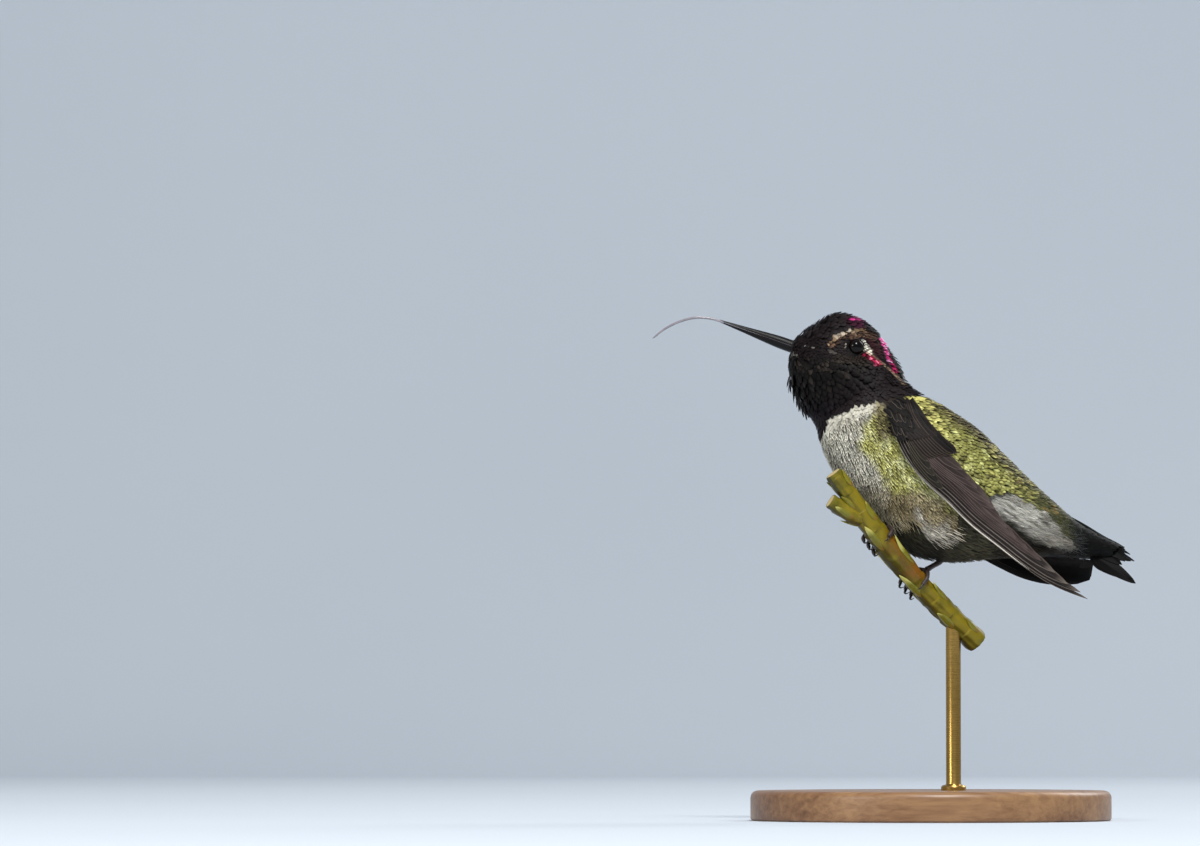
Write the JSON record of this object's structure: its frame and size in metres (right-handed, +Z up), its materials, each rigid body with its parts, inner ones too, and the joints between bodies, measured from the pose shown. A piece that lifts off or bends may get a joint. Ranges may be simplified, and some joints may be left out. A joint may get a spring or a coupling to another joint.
{
  "type": "hummingbird",
  "caption": "Life-size still model of a perched male hummingbird with raised bill and tongue out, gripping a cut twig on a plain display stand.",
  "frame": {"origin": "centre of the flat underside of the stand's base", "axes": "+Z up, the bird faces -X, its left side faces -Y"},
  "size_m": [0.097, 0.072, 0.1014],
  "materials": {
    "gorget_feather": "small glossy iridescent dark rose feathers, near black away from the light",
    "body_feather": "golden green scale-like feathers on the back and flanks, pale grey breast, white tufts at the vent",
    "flight_feather": "satin dusky brown and black feather vanes",
    "eye": "wet gloss, very dark brown",
    "bill_horn": "smooth black horn",
    "tongue": "moist, thin, pale grey mauve",
    "foot_skin": "fine dark scales, with claws of black horn",
    "twig_bark": "young yellow green bark with pressed scale leaves",
    "stand_wood": "turned, oiled",
    "stand_metal": "satin"
  },
  "bodies": {
    "root": {"head": "gorget_feather", "neck": "gorget_feather", "trunk": "body_feather", "rump": "body_feather", "tail": "flight_feather", "wing_left": "flight_feather", "wing_right": "flight_feather", "eye_left": "eye", "eye_right": "eye", "bill_upper": "bill_horn", "bill_lower": "bill_horn", "tongue": "tongue", "leg_left": "foot_skin", "leg_right": "foot_skin", "perch": "twig_bark", "stand_base": "stand_wood", "stand_rod": "stand_metal"}
  },
  "joints": []
}
